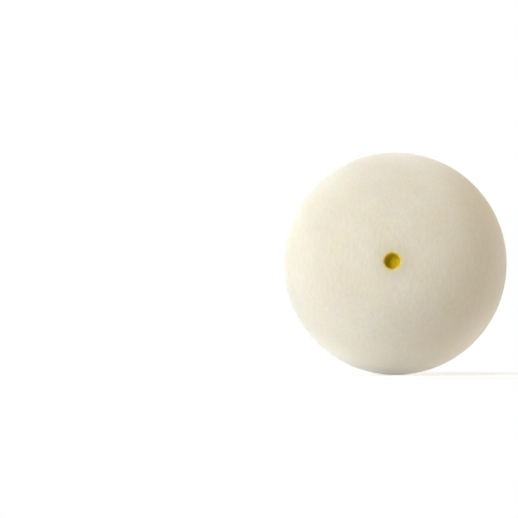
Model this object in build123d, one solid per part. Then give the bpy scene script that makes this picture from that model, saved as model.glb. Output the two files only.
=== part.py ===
from build123d import *
import math
import os

# A hollow rubber squash ball: two moulded half shells bonded edge to edge, a recessed
# colour dot at one pole and a pad print at the other, buffed to a matt finish.
# Millimetres, +Z up, origin at the ball's centre. The seam lies in the XZ plane, the dot
# faces -Y and the print faces +Y.

# Half shells
ball_diameter = 40.0
wall_thickness = 4.9

# Seam bond: the cured rubber-solution film, and the bead that it squeezes into the cavity
bond_thickness = 0.12
bond_recess = 0.04
bead_width = 1.4
bead_height = 0.3

# Colour dot: a cup sunk into the shell, its wall drafted and its mouth rounded over, lined with paint
dot_diameter = 2.8
dot_depth = 1.55
dot_draft = 8.0
dot_corner_radius = 0.5
dot_rim_radius = 0.45
paint_thickness = 0.06

# Pad print: two crossed rackets and a ball, a generic sports mark
ink_thickness = 0.03
racket_tilt = 38.0
racket_cross_offset = 0.6
head_width = 6.2
head_height = 8.0
frame_width = 0.75
string_width = 0.25
string_pitch = 1.15
shaft_length = 6.2
shaft_width = 0.85
grip_length = 5.4
grip_width = 1.5
grip_round = 0.45
ball_mark_diameter = 2.4
ball_mark_height = 6.6

# Sizes that follow from the ones above
outer_radius = ball_diameter / 2
inner_radius = outer_radius - wall_thickness
bond_half = bond_thickness / 2
moulding_axis = Axis.Y

# The print is drawn on a plane that faces +Y, with +Z up the page
print_page = Plane(origin=(0, 0, 0), x_dir=(-1, 0, 0), z_dir=(0, 1, 0))


def height_on_circle(radius, across):
    # How far up a circle about the origin a point lies, from its distance across
    return math.sqrt(radius**2 - across**2)


def arc_about(centre, start, end):
    # The shorter arc between two points that lie on one circle about a centre
    middle = (start - centre).normalized() + (end - centre).normalized()
    return ThreePointArc(start, centre + middle.normalized() * (start - centre).length, end)


def spun(lines):
    # A closed outline, drawn to the right of the Y axis, turned into a solid about it
    return revolve(make_face(lines), moulding_axis)


class DotOutline:
    # The dot's section: a flat floor, a corner round, a drafted wall, and a rim round that is
    # tangent to the wall and to the ball. The wall meets the ball at dot_diameter before it is
    # rounded. A lift is a height above the rubber: 0 is the cup itself, more is the paint's face.
    def __init__(self):
        mouth = dot_diameter / 2
        draft = math.radians(dot_draft)
        self.into_rubber = Vector(math.cos(draft), math.sin(draft))
        up_wall = Vector(math.sin(draft), -math.cos(draft))
        wall = self.into_rubber.dot(Vector(mouth, -height_on_circle(outer_radius, mouth)))
        corner_y = dot_depth - outer_radius - dot_corner_radius
        corner_x = (wall - dot_corner_radius - self.into_rubber.Y * corner_y) / self.into_rubber.X
        self.corner_centre = Vector(corner_x, corner_y)
        rim_out = wall + dot_rim_radius
        rim_up = height_on_circle(outer_radius - dot_rim_radius, rim_out)
        self.rim_centre = self.into_rubber * rim_out + up_wall * rim_up
        self.rim_on_ball = self.rim_centre.normalized() * outer_radius
        self.over_rim = (self.rim_centre.normalized() - self.into_rubber).normalized()

    def floor_middle(self, lift):
        return Vector(0, dot_depth - outer_radius - lift)

    def rim_on_wall(self, lift):
        return self.rim_centre - self.into_rubber * (dot_rim_radius + lift)

    def half_over_rim(self, lift):
        return self.rim_centre + self.over_rim * (dot_rim_radius + lift)

    def cup(self, lift):
        # From the floor's middle round the corner and up the wall, as far as the rim round
        corner = dot_corner_radius - lift
        on_floor = self.corner_centre + Vector(0, corner)
        on_wall = self.corner_centre + self.into_rubber * corner
        return [
            Line(self.floor_middle(lift), on_floor),
            arc_about(self.corner_centre, on_floor, on_wall),
            Line(on_wall, self.rim_on_wall(lift)),
        ]


def seam_points(side):
    # Where a half shell's flat edge meets the ball's surface and the cavity
    outside = Vector(height_on_circle(outer_radius, bond_half), side * bond_half)
    inside = Vector(height_on_circle(inner_radius, bond_half), side * bond_half)
    return outside, inside


def print_half_shell():
    outside, inside = seam_points(1)
    pole = Vector(0, outer_radius)
    cavity_pole = Vector(0, inner_radius)
    return spun([
        arc_about(Vector(0, 0), pole, outside),
        Line(outside, inside),
        arc_about(Vector(0, 0), inside, cavity_pole),
        Line(cavity_pole, pole),
    ])


def dot_half_shell(dot):
    outside, inside = seam_points(-1)
    cavity_pole = Vector(0, -inner_radius)
    return spun(dot.cup(0) + [
        arc_about(dot.rim_centre, dot.rim_on_wall(0), dot.rim_on_ball),
        arc_about(Vector(0, 0), dot.rim_on_ball, outside),
        Line(outside, inside),
        arc_about(Vector(0, 0), inside, cavity_pole),
        Line(cavity_pole, dot.floor_middle(0)),
    ])


def dot_paint(dot):
    # The paint lines the cup and ends half-way over the rim round
    film = paint_thickness
    return spun(dot.cup(0) + dot.cup(film) + [
        arc_about(dot.rim_centre, dot.rim_on_wall(0), dot.half_over_rim(0)),
        Line(dot.half_over_rim(0), dot.half_over_rim(film)),
        arc_about(dot.rim_centre, dot.half_over_rim(film), dot.rim_on_wall(film)),
        Line(dot.floor_middle(film), dot.floor_middle(0)),
    ])


def seam_bond():
    # The film fills the seam to just below the surface, and its bead wets the cavity's wall
    bead_angle = bead_width / 2 / inner_radius
    bead_top = Vector(inner_radius * math.cos(bead_angle), inner_radius * math.sin(bead_angle))
    bead_foot = Vector(bead_top.X, -bead_top.Y)
    crest = Vector(inner_radius - bead_height, 0)
    rim = outer_radius - bond_recess
    _, upper = seam_points(1)
    _, lower = seam_points(-1)
    return spun([
        Line(Vector(rim, -bond_half), Vector(rim, bond_half)),
        Line(Vector(rim, bond_half), upper),
        arc_about(Vector(0, 0), upper, bead_top),
        ThreePointArc(bead_top, crest, bead_foot),
        arc_about(Vector(0, 0), bead_foot, lower),
        Line(lower, Vector(rim, -bond_half)),
    ])


def string_places(head_size):
    # Where the strings cross one axis of the head, evenly spaced to both sides of its middle
    to_one_side = math.floor(head_size / 2 / string_pitch)
    return [i * string_pitch for i in range(-to_one_side, to_one_side + 1)]


def racket_mark():
    # One racket, upright on the page, crossing its twin on the shaft at the page's centre
    string_bed = Ellipse(head_width / 2 - frame_width, head_height / 2 - frame_width)
    frame = Ellipse(head_width / 2, head_height / 2) - string_bed
    main = Rectangle(string_width, head_height)
    cross = Rectangle(head_width, string_width)
    mains = [Pos(x, 0) * main for x in string_places(head_width)]
    crosses = [Pos(0, y) * cross for y in string_places(head_height)]
    strings = string_bed & (Sketch() + mains + crosses)
    shaft_middle = -(head_height + shaft_length) / 2 + frame_width / 2
    shaft = Pos(0, shaft_middle) * Rectangle(shaft_width, shaft_length + frame_width)
    grip_middle = -(head_height + grip_length) / 2 - shaft_length
    grip = Pos(0, grip_middle) * RectangleRounded(grip_width, grip_length, grip_round)
    crossing = (head_height + shaft_length) / 2 + racket_cross_offset
    return Pos(0, crossing) * (frame + strings + shaft + grip)


def print_ink():
    # The flat mark, carried straight out to the ball and kept as a film on its surface
    racket = racket_mark()
    ball_mark = Pos(0, ball_mark_height) * Circle(ball_mark_diameter / 2)
    mark = Rot(0, 0, racket_tilt) * racket + Rot(0, 0, -racket_tilt) * racket + ball_mark
    film = Sphere(outer_radius + ink_thickness) - Sphere(outer_radius)
    return extrude(print_page * mark, amount=ball_diameter) & film


def main():
    dot = DotOutline()
    pieces = {
        "dot_half_shell": dot_half_shell(dot),
        "print_half_shell": print_half_shell(),
        "seam_bond": seam_bond(),
        "dot_paint": dot_paint(dot),
        "print_ink": print_ink(),
    }
    os.makedirs("parts", exist_ok=True)
    for name, piece in pieces.items():
        export_step(piece, f"parts/{name}.step")
        print(name, "solids", len(piece.solids()), "volume", round(piece.volume, 3), "mm3")


main()
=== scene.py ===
import math

import bmesh
import bpy
from mathutils import Euler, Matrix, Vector, noise


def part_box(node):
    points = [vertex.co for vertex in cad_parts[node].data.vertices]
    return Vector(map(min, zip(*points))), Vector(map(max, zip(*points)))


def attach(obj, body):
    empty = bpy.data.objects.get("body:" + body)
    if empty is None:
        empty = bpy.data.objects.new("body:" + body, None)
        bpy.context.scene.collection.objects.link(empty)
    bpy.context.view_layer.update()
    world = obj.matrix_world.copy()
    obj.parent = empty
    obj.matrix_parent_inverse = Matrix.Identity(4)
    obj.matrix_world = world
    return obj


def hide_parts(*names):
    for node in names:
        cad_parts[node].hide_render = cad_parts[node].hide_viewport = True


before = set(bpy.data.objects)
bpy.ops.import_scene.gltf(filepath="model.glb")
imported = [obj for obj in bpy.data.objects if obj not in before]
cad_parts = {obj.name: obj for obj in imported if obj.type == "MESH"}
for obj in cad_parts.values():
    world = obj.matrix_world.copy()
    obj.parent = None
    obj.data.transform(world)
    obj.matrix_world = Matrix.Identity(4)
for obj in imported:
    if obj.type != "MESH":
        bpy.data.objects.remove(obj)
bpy.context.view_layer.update()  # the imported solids, in metres: the dot faces -Y, the print faces +Y, +Z is up
mm = 0.001
origin = Vector((0, 0, 0))
print("frame loaded:", ", ".join(sorted(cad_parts)))


# Shader nodes

class Wire:
    # one socket of a node tree: sums on it add Math nodes, node() adds any other

    def __init__(self, tree, socket=None):
        self.tree = tree
        self.socket = socket

    def node(self, kind, settings, sockets, out=0):
        made = self.tree.nodes.new("ShaderNode" + kind)
        for name, value in settings.items():
            setattr(made, name, value)
        for name, value in sockets.items():
            socket = made.inputs[name]
            if isinstance(value, Wire):
                self.tree.links.new(value.socket, socket)
            elif socket.type == "RGBA":
                socket.default_value = (*value, 1)
            else:
                socket.default_value = value
        return Wire(self.tree, made.outputs[out]) if made.outputs else None

    def also(self, out):  # another output of the same node
        return Wire(self.tree, self.socket.node.outputs[out])

    def maths(self, operation, *values):
        return self.node("Math", {"operation": operation}, dict(enumerate(values)))

    def __add__(self, other):
        return self.maths("ADD", self, other)

    def __radd__(self, other):
        return self.maths("ADD", other, self)

    def __sub__(self, other):
        return self.maths("SUBTRACT", self, other)

    def __rsub__(self, other):
        return self.maths("SUBTRACT", other, self)

    def __mul__(self, other):
        return self.maths("MULTIPLY", self, other)

    def __rmul__(self, other):
        return self.maths("MULTIPLY", other, self)

    def __abs__(self):
        return self.maths("ABSOLUTE", self)

    def rise(self, low, high):  # 0 below low, 1 above high, eased in between
        return self.node("MapRange", {"interpolation_type": "SMOOTHSTEP"},
                         {"Value": self, "From Min": low, "From Max": high})

    def fall(self, low, high):  # 1 below low, 0 above high
        return 1 - self.rise(low, high)

    def grain(self, size, detail=2.0, shift=(0, 0, 0)):  # soft noise on a point, in lumps of about that size
        moved = self.node("VectorMath", {"operation": "ADD"}, {0: self, 1: shift})
        return self.node("TexNoise", {}, {"Vector": moved, "Scale": 1 / size, "Detail": detail})

    def swing(self):  # noise from 0 to 1, moved to lie about zero
        return self - 0.5

    def stretch(self, factors):  # the point with each axis scaled, which draws a pattern out
        return self.node("VectorMath", {"operation": "MULTIPLY"}, {0: self, 1: factors})

    def length(self):
        return self.node("VectorMath", {"operation": "LENGTH"}, {0: self}, "Value")

    def scaled(self, factor):  # a colour made lighter or darker
        return self.node("VectorMath", {"operation": "SCALE"}, {0: self, "Scale": factor})


def mixed(factor, first, second, how="MIX"):  # two colours, whose sockets on a Mix node go by number
    sockets = {0: factor, 6: first, 7: second}
    return factor.node("Mix", {"data_type": "RGBA", "blend_type": how}, sockets, 2)


def ragged(distance, point, wander, **pattern):  # a distance that wanders, for an uneven edge
    return distance + wander * point.grain(**pattern).swing()


def bumps(height):  # in millimetres
    return height.node("Bump", {}, {"Distance": mm, "Height": height})


def emptyMaterial(name):
    material = bpy.data.materials.new(name)
    material.use_nodes = True
    material.node_tree.nodes.clear()
    return material


def onPiece(material):  # where a point lies on the ball, in millimetres
    place = Wire(material.node_tree).node("TexCoord", {}, {}, "Object")
    return place.node("VectorMath", {"operation": "SCALE"}, {0: place, "Scale": 1 / mm})


def surface(point, settings):
    shader = point.node("BsdfPrincipled", {}, settings)
    point.node("OutputMaterial", {}, {"Surface": shader})


# Outlines, drawn in the XY plane to the right of the moulding axis, and spun about it

meshing = {
    "weld": 1e-8,  # metres between two points that become one
    "crease": math.radians(40),  # an edge that turns further than this stays sharp
}


def arcTo(bm, vert, centre, end, steps):  # round a centre, as far as the direction of end
    start, reach = vert.co - centre, end - centre
    turn = math.atan2(start.x * reach.y - start.y * reach.x, start.dot(reach))
    spun = bmesh.ops.spin(bm, geom=[vert], cent=centre, axis=(0, 0, 1), angle=turn, steps=steps)
    return next(item for item in spun["geom_last"] if isinstance(item, bmesh.types.BMVert))


def lineTo(bm, vert, end, steps):
    start = vert.co.copy()
    for step in range(steps):
        vert = bmesh.ops.extrude_vert_indiv(bm, verts=[vert])["verts"][0]
        vert.co = start.lerp(end, (step + 1) / steps)
    return vert


def weld(bm):
    bmesh.ops.remove_doubles(bm, verts=bm.verts[:], dist=meshing["weld"])


def turnRound(bm, sides):
    bmesh.ops.spin(bm, geom=bm.verts[:] + bm.edges[:], cent=origin, axis=(0, 1, 0),
                   angle=math.tau, steps=sides, use_merge=True)
    weld(bm)  # closes the poles
    bmesh.ops.recalc_face_normals(bm, faces=bm.faces[:])


def finishPiece(bm, name, node, material):
    for edge in bm.edges:
        edge.smooth = edge.calc_face_angle(0) < meshing["crease"]
    for face in bm.faces:
        face.smooth = True
    mesh = bpy.data.meshes.new(name)
    bm.to_mesh(mesh)
    bm.free()
    mesh.materials.append(material)
    piece = bpy.data.objects.new(name, mesh)
    bpy.context.scene.collection.objects.link(piece)
    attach(piece, "root")
    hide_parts(node)
    print("made", name, len(mesh.polygons), "faces")


# White rubber, buffed to a chalky matt finish

rubber = {  # sizes and heights in mm; a fade is the two ends of a soft edge
    "pale": (0.800, 0.752, 0.634),
    "deep": (0.762, 0.708, 0.584),
    "clouds": {"size": 9.0, "detail": 3.0},
    "cloudsFade": (0.3, 0.7),
    "rosy": (0.792, 0.722, 0.606),
    "blush": {"size": 13.0, "shift": (31, 7, 12)},
    "blushFade": (0.45, 0.75),
    "blushShare": 0.6,
    "butter": (0.790, 0.732, 0.560),
    "mottle": {"size": 3.2, "detail": 3.0, "shift": (2, 40, 6)},
    "mottleFade": (0.35, 0.7),
    "mottleShare": 0.6,
    "pink": (1.000, 0.986, 0.994),  # a faint tint one way, and the other
    "green": (0.987, 1.000, 0.990),
    "tint": {"size": 3.6, "detail": 3.0, "shift": (8, 3, 25)},
    "tintFade": (0.3, 0.7),
    "powder": {"size": 0.24, "shift": (5, 0, 9)},
    "powderShade": 0.04,
    "powderHeight": 0.006,
    "powderMatt": 0.10,
    "strokes": {"size": 1.0, "shift": (0, 17, 3)},
    "strokesPull": (2.6, 2.6, 0.8),  # the wheel draws them out along Z
    "strokesShade": 0.18,
    "strokesHeight": 0.010,
    "tooth": {"size": 0.1, "detail": 1.0},
    "toothHeight": 0.003,
    "dotSideFade": (-1.0, 1.0),  # along the axis, from the dot's half to the print's
    "stain": (0.945, 0.93, 0.90),  # grey-yellow bloom round the dot, from handling
    "stainFade": (1.7, 4.4),  # from the dot's axis, as is the smear's
    "stainEdge": {"wander": 0.9, "size": 1.4},
    "smear": (0.77, 0.66, 0.28),  # paint wiped over the lip
    "smearFade": (1.5, 2.4),
    "smearEdge": {"wander": 0.6, "size": 0.5},
    "smearShare": 0.6,
    "speck": (0.36, 0.29, 0.20),
    "speckCell": 2.6,
    "speckLuck": (0.72, 1.0),  # most cells hold no speck
    "speckRadius": 0.045,  # the largest, as a share of its cell, as is the next
    "speckFade": (0.0, 0.02),
    "speckShare": 0.45,
    "bandFade": (0.65, 1.3),  # from the seam, where the wheel has ground finer
    "bandEdge": {"wander": 0.5, "size": 2.2},
    "bandShare": 0.3,
    "bandGloss": 0.06,
    "matt": 0.82,
    "chalk": 1.0,
    "shine": 0.3,
    "sheen": 0.3,
    "sheenMatt": 0.5,
}


def whiteRubber():
    material = emptyMaterial("whiteRubber")
    point = onPiece(material)
    along = point.node("SeparateXYZ", {}, {0: point}, "Y")
    dotSide = along.fall(*rubber["dotSideFade"])
    fromAxis = point.stretch((1, 0, 1)).length()
    fromSeam = abs(along)

    clouds = point.grain(**rubber["clouds"]).rise(*rubber["cloudsFade"])
    blush = point.grain(**rubber["blush"]).rise(*rubber["blushFade"])
    mottle = point.grain(**rubber["mottle"]).rise(*rubber["mottleFade"])
    tint = point.grain(**rubber["tint"]).rise(*rubber["tintFade"])
    powder = point.grain(**rubber["powder"])
    strokes = point.stretch(rubber["strokesPull"]).grain(**rubber["strokes"])
    tooth = point.grain(**rubber["tooth"])
    shade = rubber["powderShade"] * powder.swing() + rubber["strokesShade"] * strokes.swing()
    color = mixed(clouds, rubber["pale"], rubber["deep"])
    color = mixed(rubber["blushShare"] * blush, color, rubber["rosy"])
    color = mixed(rubber["mottleShare"] * mottle, color, rubber["butter"])
    color = mixed(tint, color, rubber["pink"], "MULTIPLY")
    color = mixed(1 - tint, color, rubber["green"], "MULTIPLY")
    color = color.scaled(1 + shade)

    stain = ragged(fromAxis, point, **rubber["stainEdge"]).fall(*rubber["stainFade"])
    color = mixed(stain * dotSide, color, rubber["stain"], "MULTIPLY")
    smear = ragged(fromAxis, point, **rubber["smearEdge"]).fall(*rubber["smearFade"])
    color = mixed(rubber["smearShare"] * smear * dotSide, color, rubber["smear"])

    cell = point.node("TexVoronoi", {}, {"Vector": point, "Scale": 1 / rubber["speckCell"]}, "Distance")
    luck = cell.node("SeparateColor", {}, {0: cell.also("Color")}, "Red")
    radius = rubber["speckRadius"] * luck.rise(*rubber["speckLuck"])
    speck = (radius - cell).rise(*rubber["speckFade"])
    color = mixed(rubber["speckShare"] * speck, color, rubber["speck"])

    band = ragged(fromSeam, point, **rubber["bandEdge"]).fall(*rubber["bandFade"])
    color = mixed(rubber["bandShare"] * band, color, rubber["pale"])
    height = rubber["powderHeight"] * powder + rubber["strokesHeight"] * strokes
    surface(point, {
        "Base Color": color,
        "Roughness": rubber["matt"] + rubber["powderMatt"] * powder.swing() - rubber["bandGloss"] * band,
        "Normal": bumps(height + rubber["toothHeight"] * tooth),
        "Diffuse Roughness": rubber["chalk"],
        "Specular IOR Level": rubber["shine"],
        "Sheen Weight": rubber["sheen"],
        "Sheen Roughness": rubber["sheenMatt"],
    })
    return material


# The two half shells

shell = {
    "radius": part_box("print_half_shell")[1].y,
    "seamHalf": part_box("print_half_shell")[0].y,  # half of the bond's thickness
    "wall": 4.9 * mm,
    "edgeRound": 0.05 * mm,  # where buffing has broken the moulded edge
    "sides": 288,
    "outerSteps": 88,
    "edgeSteps": 4,
    "flatSteps": 6,
    "innerSteps": 48,
}

pit = {
    "mouth": 2.8 * mm,  # its width where the wall would meet the ball with no lip
    "depth": shell["radius"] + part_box("dot_paint")[1].y,
    "draft": math.radians(8),  # how far the wall leans out
    "corner": 0.5 * mm,
    "lip": 0.45 * mm,
    "floorSteps": 8,
    "cornerSteps": 12,
    "wallSteps": 5,
    "lipSteps": 12,
}

buffing = {  # how far the wheel has gone below the true ball, in mm
    "wave": 6.5,
    "waveDepth": 0.020,
    "dimple": 1.7,
    "dimpleShift": Vector((3, 11, 5)),
    "dimpleDepth": 0.007,
    "reach": 1.5,  # the wheel touches nothing deeper
}


def lumps(co, size, shift=origin):  # smooth noise from 0 to 1
    return 0.5 + 0.5 * noise.noise(co / mm / size + shift)


def buffDepth(co):
    wave = lumps(co, buffing["wave"])
    dimple = lumps(co, buffing["dimple"], buffing["dimpleShift"])
    return (wave * buffing["waveDepth"] + dimple * buffing["dimpleDepth"]) * mm


def buff(bm):
    for vert in bm.verts:
        if vert.co.length > shell["radius"] - buffing["reach"] * mm:
            vert.co -= vert.co.normalized() * buffDepth(vert.co)


def pitOutline():  # the middles of the corner's and the lip's rounds, and the way into the rubber
    ball, corner, lip, mouth = shell["radius"], pit["corner"], pit["lip"], pit["mouth"] / 2
    floor = pit["depth"] - ball
    intoRubber = Vector((math.cos(pit["draft"]), math.sin(pit["draft"]), 0))  # square to the wall
    downWall = Vector((-intoRubber.y, intoRubber.x, 0))
    wall = Vector((mouth, -math.sqrt(ball**2 - mouth**2), 0))
    cornerY = floor - corner
    cornerX = (wall.dot(intoRubber) - corner - cornerY * intoRubber.y) / intoRubber.x
    lipOut = wall.dot(intoRubber) + lip
    lipAt = intoRubber * lipOut - downWall * math.sqrt((ball - lip) ** 2 - lipOut**2)
    return Vector((cornerX, cornerY, 0)), lipAt, intoRubber


def drawPit(bm, lipShare):  # from the floor's middle up the wall, and over a share of the lip
    cornerAt, lipAt, intoRubber = pitOutline()
    floor = Vector((0, cornerAt.y + pit["corner"], 0))
    lipFoot = lipAt - intoRubber * pit["lip"]
    lipEnd = lipAt + (lipFoot - lipAt).slerp(lipAt.normalized() * pit["lip"], lipShare)
    vert = lineTo(bm, bm.verts.new(floor), Vector((cornerAt.x, floor.y, 0)), pit["floorSteps"])
    vert = arcTo(bm, vert, cornerAt, cornerAt + intoRubber, pit["cornerSteps"])
    vert = lineTo(bm, vert, lipFoot, pit["wallSteps"])
    return arcTo(bm, vert, lipAt, lipEnd, pit["lipSteps"])


def drawShell(bm, vert, side):  # over the ball to the seam and back inside; side is -1 on the dot's half
    ball, edge, half = shell["radius"], shell["edgeRound"], shell["seamHalf"]
    cavity = ball - shell["wall"]
    edgeAt = Vector((math.sqrt((ball - edge) ** 2 - (half + edge) ** 2), side * (half + edge), 0))
    inside = Vector((math.sqrt(cavity**2 - half**2), side * half, 0))
    vert = arcTo(bm, vert, origin, edgeAt, shell["outerSteps"])
    vert = arcTo(bm, vert, edgeAt, Vector((edgeAt.x, side * half, 0)), shell["edgeSteps"])
    vert = lineTo(bm, vert, inside, shell["flatSteps"])
    arcTo(bm, vert, origin, Vector((0, side * cavity, 0)), shell["innerSteps"])


def dotHalf(material):
    bm = bmesh.new()
    drawShell(bm, drawPit(bm, 1), -1)
    turnRound(bm, shell["sides"])
    buff(bm)
    finishPiece(bm, "dotHalf", "dot_half_shell", material)


def printHalf(material):
    bm = bmesh.new()
    drawShell(bm, bm.verts.new((0, shell["radius"], 0)), 1)
    turnRound(bm, shell["sides"])
    buff(bm)
    finishPiece(bm, "printHalf", "print_half_shell", material)


# The bond: a film in the seam, and the bead that it squeezed into the cavity

bond = {
    "outer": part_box("seam_bond")[1].x,
    "beadHalf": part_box("seam_bond")[1].y,
    "beadHeight": 0.3 * mm,
    "filmSteps": 2,
    "footSteps": 3,
    "beadSteps": 8,
    "skin": 0.1 * mm,  # the depth below the outside that is uneven
    "ragged": 0.022 * mm,
    "raggedSize": 1.1,  # mm, as are the sizes and the height below
    "amber": (0.64, 0.55, 0.40),
    "grey": (0.54, 0.46, 0.34),
    "patches": {"size": 1.8, "detail": 3.0},
    "patchesFade": (0.35, 0.65),
    "patchesMatt": 0.2,
    "tooth": {"size": 0.15},
    "toothHeight": 0.01,
    "matt": 0.6,
    "shine": 0.4,
}


def bondRubber():
    material = emptyMaterial("bondRubber")
    point = onPiece(material)
    patches = point.grain(**bond["patches"])
    surface(point, {
        "Base Color": mixed(patches.rise(*bond["patchesFade"]), bond["amber"], bond["grey"]),
        "Roughness": bond["matt"] + bond["patchesMatt"] * patches,
        "Normal": bumps(bond["toothHeight"] * point.grain(**bond["tooth"])),
        "Specular IOR Level": bond["shine"],
    })
    return material


def seamRing(material):
    half, cavity = shell["seamHalf"], shell["radius"] - shell["wall"]
    beadTop = Vector((math.sqrt(cavity**2 - bond["beadHalf"] ** 2), bond["beadHalf"], 0))
    crest = cavity - bond["beadHeight"]
    beadAt = Vector(((beadTop.length_squared - crest**2) / (2 * (beadTop.x - crest)), 0, 0))
    wall = math.sqrt(cavity**2 - half**2)
    bm = bmesh.new()
    vert = bm.verts.new((bond["outer"], -half, 0))
    vert = lineTo(bm, vert, Vector((bond["outer"], half, 0)), bond["filmSteps"])
    vert = lineTo(bm, vert, Vector((wall, half, 0)), shell["flatSteps"])
    vert = arcTo(bm, vert, origin, beadTop, bond["footSteps"])
    vert = arcTo(bm, vert, beadAt, Vector((crest, 0, 0)), bond["beadSteps"])
    vert = arcTo(bm, vert, beadAt, Vector((beadTop.x, -beadTop.y, 0)), bond["beadSteps"])
    vert = arcTo(bm, vert, origin, Vector((wall, -half, 0)), bond["footSteps"])
    lineTo(bm, vert, Vector((bond["outer"], -half, 0)), shell["flatSteps"])
    weld(bm)  # closes the outline
    turnRound(bm, shell["sides"])
    for vert in bm.verts:
        if vert.co.length > bond["outer"] - bond["skin"]:
            uneven = noise.noise(vert.co / mm / bond["raggedSize"])
            vert.co -= vert.co.normalized() * (buffDepth(vert.co) + uneven * bond["ragged"])
    finishPiece(bm, "seamRing", "seam_bond", material)


# The dot's paint: pooled at the bottom, thin and ragged where it laps over the lip

paint = {  # sizes and heights in mm
    "lemon": (0.57, 0.440, 0.008),
    "ochre": (0.58, 0.360, 0.004),
    "mottle": {"size": 0.8, "detail": 3.0},
    "mottleFade": (0.35, 0.65),
    "mottleMatt": 0.2,
    "thin": (0.72, 0.59, 0.23),  # where the lip is rubbed
    "thinFade": (1.18, 1.62),  # from the dot's axis
    "thinEdge": {"wander": 0.7, "size": 0.5, "detail": 3.0},
    "thinMatt": 0.1,
    "tooth": {"size": 0.16},
    "toothHeight": 0.012,
    "matt": 0.6,
    "shine": 0.1,
    "film": 0.06,
    "pool": 0.05,  # more than the film, on the axis
    "poolReach": 1.1,
    "lumps": 0.014,
    "lumpSize": 0.5,
    "edgeFrom": 1.52,  # from the dot's axis, where the film starts to run out
    "edgeTo": 1.69,
    "ragged": 0.22,
    "raggedSize": 0.45,
    "raggedShift": Vector((9, 2, 4)),
    "buried": 0.03,  # past its edge it lies this far inside the rubber
    "thickness": 0.09,
    "lipShare": 0.8,  # how far over the lip it is drawn
    "sides": 160,
}


def yellowPaint():
    material = emptyMaterial("yellowPaint")
    point = onPiece(material)
    fromAxis = point.stretch((1, 0, 1)).length()
    mottle = point.grain(**paint["mottle"])
    worn = ragged(fromAxis, point, **paint["thinEdge"]).rise(*paint["thinFade"])
    color = mixed(mottle.rise(*paint["mottleFade"]), paint["lemon"], paint["ochre"])
    surface(point, {
        "Base Color": mixed(worn, color, paint["thin"]),
        "Roughness": paint["matt"] + paint["mottleMatt"] * mottle + paint["thinMatt"] * worn,
        "Normal": bumps(paint["toothHeight"] * point.grain(**paint["tooth"])),
        "Specular IOR Level": paint["shine"],
    })
    return material


def filmHeight(co):  # of the paint above the rubber, below zero where the rubber is bare
    point = co / mm
    fromAxis = math.hypot(point.x, point.z)
    pooled = max(0.0, 1 - fromAxis / paint["poolReach"]) ** 2
    lump = noise.noise(point / paint["lumpSize"])
    wander = paint["ragged"] * noise.noise(point / paint["raggedSize"] + paint["raggedShift"])
    edge = (fromAxis + wander - paint["edgeFrom"]) / (paint["edgeTo"] - paint["edgeFrom"])
    edge = min(1.0, max(0.0, edge))
    full = paint["film"] + paint["pool"] * pooled + paint["lumps"] * lump
    return (full * (1 - edge) - paint["buried"] * edge) * mm


def dotPaint(material):
    bm = bmesh.new()
    drawPit(bm, paint["lipShare"])
    turnRound(bm, paint["sides"])
    if sum((face.normal.y for face in bm.faces), 0.0) > 0:  # an open skin: its outside faces -Y
        bmesh.ops.reverse_faces(bm, faces=bm.faces[:])
    bm.normal_update()
    normals = {vert: vert.normal.copy() for vert in bm.verts}
    for vert, normal in normals.items():
        vert.co += normal * filmHeight(vert.co) - vert.co.normalized() * buffDepth(vert.co)
    bmesh.ops.solidify(bm, geom=bm.faces[:], thickness=paint["thickness"] * mm)
    finishPiece(bm, "dotPaint", "dot_paint", material)


# The print's ink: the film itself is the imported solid

ink = {  # sizes and heights in mm
    "black": (0.012, 0.011, 0.010),
    "dull": (0.030, 0.028, 0.025),
    "patches": {"size": 2.5},
    "patchesFade": (0.3, 0.7),
    "tooth": {"size": 0.16, "shift": (4, 4, 4)},
    "toothHeight": 0.008,
    "toothMatt": 0.3,
    "bare": (0.42, 0.39, 0.33),  # rubber seen through a pinhole, at the tooth's highest points
    "pinholeFade": (0.76, 0.82),
    "pinholeDull": 0.12,  # how much the dull patches add to the pinholes
    "matt": 0.55,
    "shine": 0.15,
}


def blackInk():
    material = emptyMaterial("blackInk")
    point = onPiece(material)
    tooth = point.grain(**ink["tooth"])
    patches = point.grain(**ink["patches"])
    pinholes = (tooth + ink["pinholeDull"] * patches).rise(*ink["pinholeFade"])
    color = mixed(patches.rise(*ink["patchesFade"]), ink["black"], ink["dull"])
    surface(point, {
        "Base Color": mixed(pinholes, color, ink["bare"]),
        "Roughness": ink["matt"] + ink["toothMatt"] * tooth,
        "Normal": bumps(ink["toothHeight"] * tooth),
        "Specular IOR Level": ink["shine"],
    })
    return material


def inkOnPrint():
    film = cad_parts["print_ink"]
    film.material_slots[0].material = blackInk()
    print("inked print_ink", len(film.data.polygons), "faces")


# Studio: a white floor, soft lamps and a white surround

studio = {
    "white": (1, 1, 1),
    "floorRadius": 0.6,  # metres, as is the lamps' distance
    "floorSides": 96,
    "floorPale": (0.88, 0.88, 0.88),  # its colour where it throws light back at the ball
    "shadowShare": 0.75,  # how much of the lamps' light and shade the floor shows near the ball
    "shadowFade": (22, 60),  # mm from the ball's middle, where the floor turns plain white
    "litFloor": 0.74,  # about what the lamps alone give a floor of pure white
    "ambient": (0.04, 0.04, 0.04),
    "lampDistance": 0.7,
}

lamps = {  # degrees round to the camera's right and up, width in m, watts in red, green and blue
    "key": (315, 16, 0.38, (3.24, 3.49, 3.91)),
    "overhead": (342, 54, 0.55, (2.05, 1.89, 1.66)),
    "warmSide": (95, 6, 0.55, (2.85, 2.51, 2.10)),
    "behind": (200, 25, 0.55, (2.50, 2.50, 2.50)),
    "below": (138, -45, 0.55, (1.92, 2.04, 2.27)),
}


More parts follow.
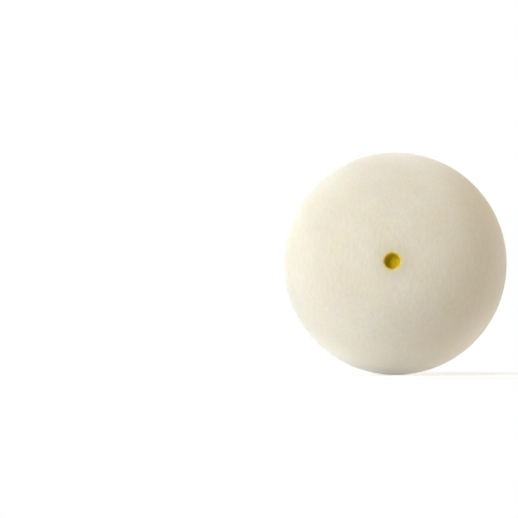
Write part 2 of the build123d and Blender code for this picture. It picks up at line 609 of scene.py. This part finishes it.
def seenOrMirrored(tree):  # 1 for what the camera, a reflection or glass sees
    rays = tree.node("LightPath", {}, {}, "Is Camera Ray")
    seen = rays.maths("MAXIMUM", rays, rays.also("Is Glossy Ray"))
    return seen.maths("MAXIMUM", seen, rays.also("Is Transmission Ray"))


def whiteFloor():
    material = emptyMaterial("whiteFloor")
    point = onPiece(material)
    white = studio["white"]
    share = studio["shadowShare"] * point.length().fall(*studio["shadowFade"])
    matt = point.node("BsdfDiffuse", {}, {"Color": studio["floorPale"]})
    lit = point.node("BsdfDiffuse", {}, {"Color": white})
    lift = point.node("Emission", {}, {"Color": white, "Strength": 1 - studio["litFloor"]})
    shaded = point.node("AddShader", {}, {0: lit, 1: lift})
    plain = point.node("Emission", {}, {"Color": white})
    shown = point.node("MixShader", {}, {0: share, 1: plain, 2: shaded})
    both = point.node("MixShader", {}, {0: seenOrMirrored(point), 1: matt, 2: shown})
    point.node("OutputMaterial", {}, {"Surface": both})
    return material


def layFloor():
    bm = bmesh.new()
    bmesh.ops.create_circle(bm, cap_ends=True, segments=studio["floorSides"], radius=studio["floorRadius"])
    bmesh.ops.translate(bm, verts=bm.verts[:], vec=(0, 0, -shell["radius"]))
    mesh = bpy.data.meshes.new("floor")
    bm.to_mesh(mesh)
    bm.free()
    mesh.materials.append(whiteFloor())
    floor = bpy.data.objects.new("floor", mesh)
    bpy.context.scene.collection.objects.link(floor)
    floor.visible_shadow = False  # lets the lamp below lift the ball's underside
    print("floor laid under the ball")


def whiteSurround():
    world = bpy.data.worlds.new("surround")
    world.use_nodes = True
    world.node_tree.nodes.clear()
    bpy.context.scene.world = world
    tree = Wire(world.node_tree)
    light = tree.node("Background", {}, {"Color": studio["ambient"]})
    backdrop = tree.node("Background", {}, {"Color": studio["white"]})
    both = tree.node("MixShader", {}, {0: seenOrMirrored(tree), 1: light, 2: backdrop})
    tree.node("OutputWorld", {}, {"Surface": both})
    print("surround set")


def roundBall(azimuth, elevation, distance):  # a place, with azimuth 0 straight in front of the dot
    turn, lift = math.radians(azimuth), math.radians(elevation)
    level = Vector((math.sin(turn), -math.cos(turn), 0)) * math.cos(lift)
    return (level + Vector((0, 0, math.sin(lift)))) * distance


def aimed(data, place):  # a lamp or camera that looks at the ball's middle
    made = bpy.data.objects.new(data.name, data)
    made.location = place
    made.rotation_mode = "QUATERNION"
    made.rotation_quaternion = (-place).to_track_quat("-Z", "Y")
    bpy.context.scene.collection.objects.link(made)
    return made


def hangLamps():
    for name, (azimuth, elevation, width, watts) in lamps.items():
        data = bpy.data.lights.new(name, "AREA")
        data.shape = "DISK"
        data.size = width
        data.energy = max(watts)
        data.color = [value / data.energy for value in watts]
        lamp = aimed(data, roundBall(azimuth, elevation, studio["lampDistance"]))
        lamp.visible_camera = False
    print("lit by", ", ".join(lamps))


# Camera, from the ball's and the dot's places in the photograph

photo = {
    "size": 518,  # pixels, as are the next three
    "ballAt": Vector((394.7, 263.2)),
    "ballRadius": 111.1,
    "dotAt": Vector((391.7, 260.7)),
    "lens": 200,  # mm, a guess that fits a product picture
    "sensor": 36,
}


def setCamera():
    ball = shell["radius"]
    focal = photo["lens"] / photo["sensor"] * photo["size"]
    distance = math.hypot(focal * ball / photo["ballRadius"], ball)
    # the dot is nearer than the ball's middle, so it looks further to the side than it is
    offset = (photo["ballAt"] - photo["dotAt"]) / photo["ballRadius"] * (1 - ball / distance)
    azimuth, elevation = math.degrees(math.asin(offset.x)), -math.degrees(math.asin(offset.y))
    data = bpy.data.cameras.new("camera")
    data.lens = photo["lens"]
    data.sensor_width = photo["sensor"]
    camera = aimed(data, roundBall(azimuth, elevation, distance))
    middle = (photo["size"] - 1) / 2
    pan = math.atan((photo["ballAt"].x - middle) / focal)  # takes the ball from the middle to its place
    tilt = math.atan((photo["ballAt"].y - middle) / focal)
    camera.rotation_quaternion = camera.rotation_quaternion @ Euler((tilt, pan, 0)).to_quaternion()
    bpy.context.scene.camera = camera
    print("camera at azimuth", round(azimuth, 2), "elevation", round(elevation, 2))


shellRubber = whiteRubber()
dotHalf(shellRubber)
printHalf(shellRubber)
seamRing(bondRubber())
dotPaint(yellowPaint())
inkOnPrint()
layFloor()
whiteSurround()
hangLamps()
setCamera()
bpy.context.scene.view_settings.view_transform = "Standard"
